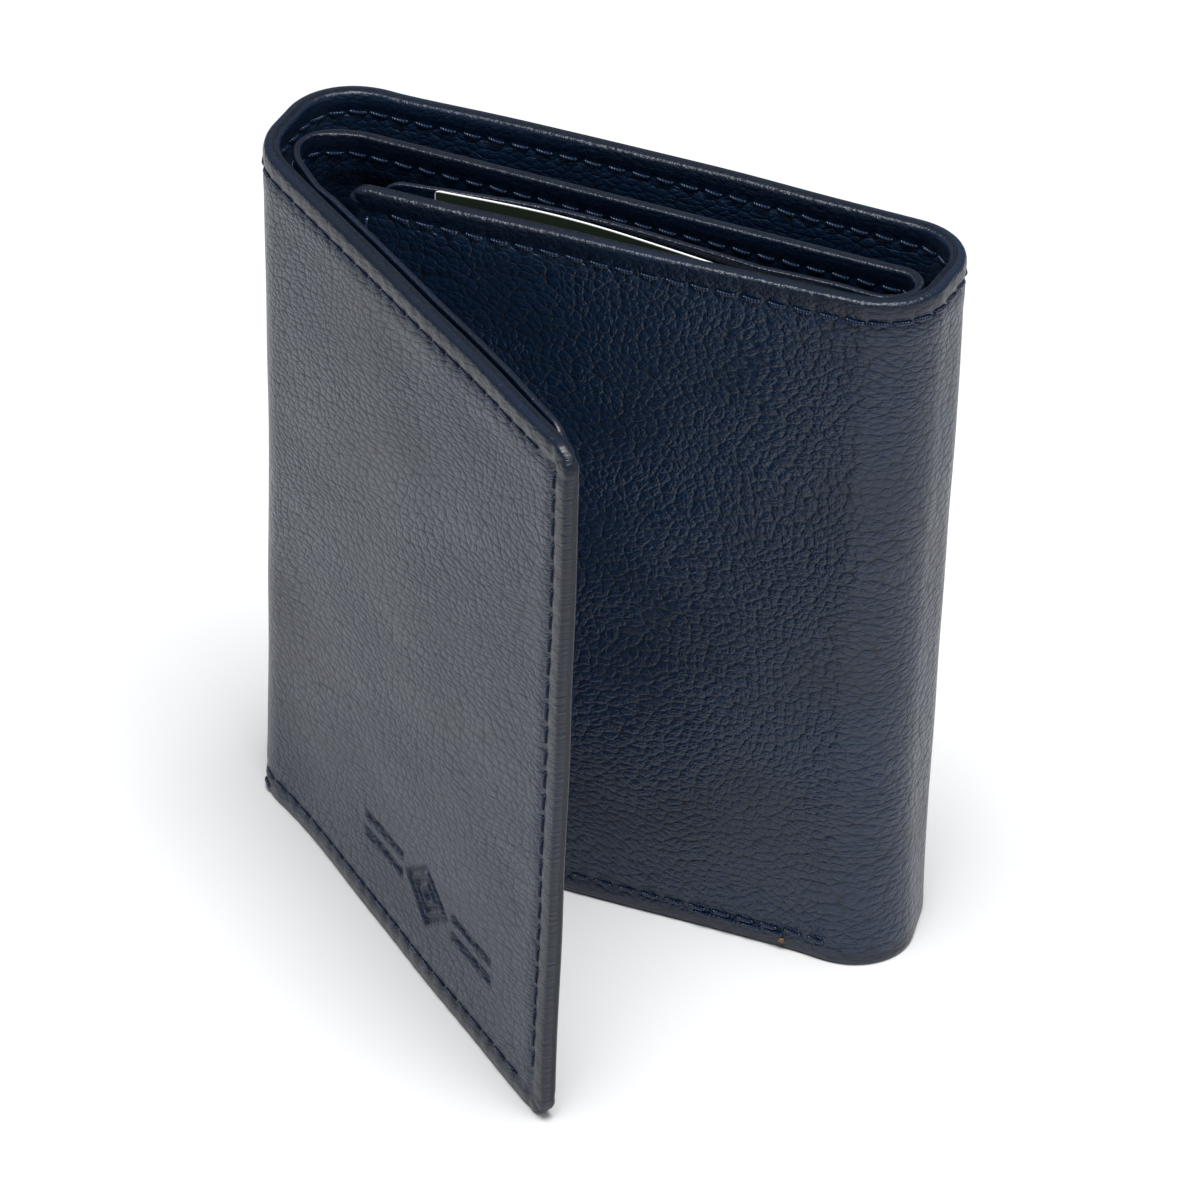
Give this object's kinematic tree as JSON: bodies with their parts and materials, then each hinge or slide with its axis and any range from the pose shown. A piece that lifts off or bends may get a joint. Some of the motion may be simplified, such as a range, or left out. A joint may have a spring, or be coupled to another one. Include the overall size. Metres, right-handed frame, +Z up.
{
  "type": "trifold wallet",
  "caption": "Pebbled leather trifold wallet standing half open: centre panel, folded-in inner panel and outer flap, with bill compartment, card pockets and see-through pocket.",
  "frame": {"origin": "middle of the centre panel's bottom edge, on the surface that the wallet stands on", "axes": "+Z up along the folds; +X along the centre panel from the left fold to the right fold; +Y towards the wallet's back"},
  "size_m": [0.0967, 0.0717, 0.105],
  "materials": {
    "shell_leather": "semi-gloss pebble grain",
    "pocket_leather": "semi-gloss pebble grain",
    "lining": "woven, matt",
    "board": "matt",
    "thread": "waxed thread",
    "window": "clear, glossy",
    "paper": "matt, white edges"
  },
  "bodies": {
    "centre_panel": {"centre_cover": "shell_leather", "centre_stiffener_board": "board", "centre_lining": "lining", "centre_seam_thread": "thread", "bill_divider": "pocket_leather", "centre_card_leaf_1": "pocket_leather", "centre_card_leaf_2": "pocket_leather", "centre_card_leaf_3": "pocket_leather", "divider_thread": "thread"},
    "left_fold_back": {"left_fold_back_cover": "shell_leather", "left_fold_thread": "thread", "left_fold_gusset": "pocket_leather"},
    "left_fold_front": {"left_fold_front_cover": "shell_leather"},
    "flap": {"flap_cover": "shell_leather", "flap_stiffener_board": "board", "flap_lining": "lining", "flap_seam_thread": "thread", "flap_pocket_backing": "pocket_leather", "flap_card_leaf_1": "pocket_leather", "flap_card_leaf_2": "pocket_leather"},
    "right_fold": {"right_fold_cover": "shell_leather", "right_fold_thread": "thread", "right_fold_gusset": "pocket_leather"},
    "inner_panel": {"inner_panel_cover": "shell_leather", "inner_panel_stiffener_board": "board", "inner_panel_lining": "lining", "inner_panel_seam_thread": "thread", "inner_pocket_backing": "pocket_leather", "id_window": "window", "id_window_frame": "pocket_leather"},
    "paper_insert": {"paper_insert": "paper"}
  },
  "joints": [
    {"name": "left_fold_back_bend", "type": "hinge", "parent": "centre_panel", "child": "left_fold_back", "pos_m": [-0.04534, -0.00216, 0.0525], "axis": [0, 0, -1], "range_deg": [0, 80], "deforming": ["left_fold_back_cover", "left_fold_thread", "left_fold_gusset"]},
    {"name": "left_fold_front_bend", "type": "hinge", "parent": "left_fold_back", "child": "left_fold_front", "pos_m": [-0.04767, -0.01716, 0.0525], "axis": [0, 0, -1], "range_deg": [0, 80], "deforming": ["left_fold_front_cover"]},
    {"name": "flap_crease", "type": "hinge", "parent": "left_fold_front", "child": "flap", "pos_m": [-0.0432, -0.0232, 0.0525], "axis": [0, 0, -1], "range_deg": [-32, 30]},
    {"name": "right_fold_back_bend", "type": "hinge", "parent": "centre_panel", "child": "right_fold", "pos_m": [0.04442, -0.00178, 0.0525], "axis": [0, 0, 1], "range_deg": [-6, 6], "deforming": ["right_fold_cover", "right_fold_thread", "right_fold_gusset"]},
    {"name": "right_fold_front_bend", "type": "hinge", "parent": "right_fold", "child": "inner_panel", "pos_m": [0.04463, -0.0188, 0.0525], "axis": [0, 0, 1], "range_deg": [0, 90]},
    {"name": "paper_insert_slide", "type": "slide", "parent": "inner_panel", "child": "paper_insert", "axis": [0, 0, 1], "range_m": [0, 0.08]}
  ],
  "couplings": [
    {"joint": "left_fold_front_bend", "follows": "left_fold_back_bend", "ratio": 1},
    {"joint": "right_fold_front_bend", "follows": "left_fold_back_bend", "ratio": 1.1},
    {"joint": "right_fold_back_bend", "follows": "flap_crease", "ratio": 0.16}
  ]
}
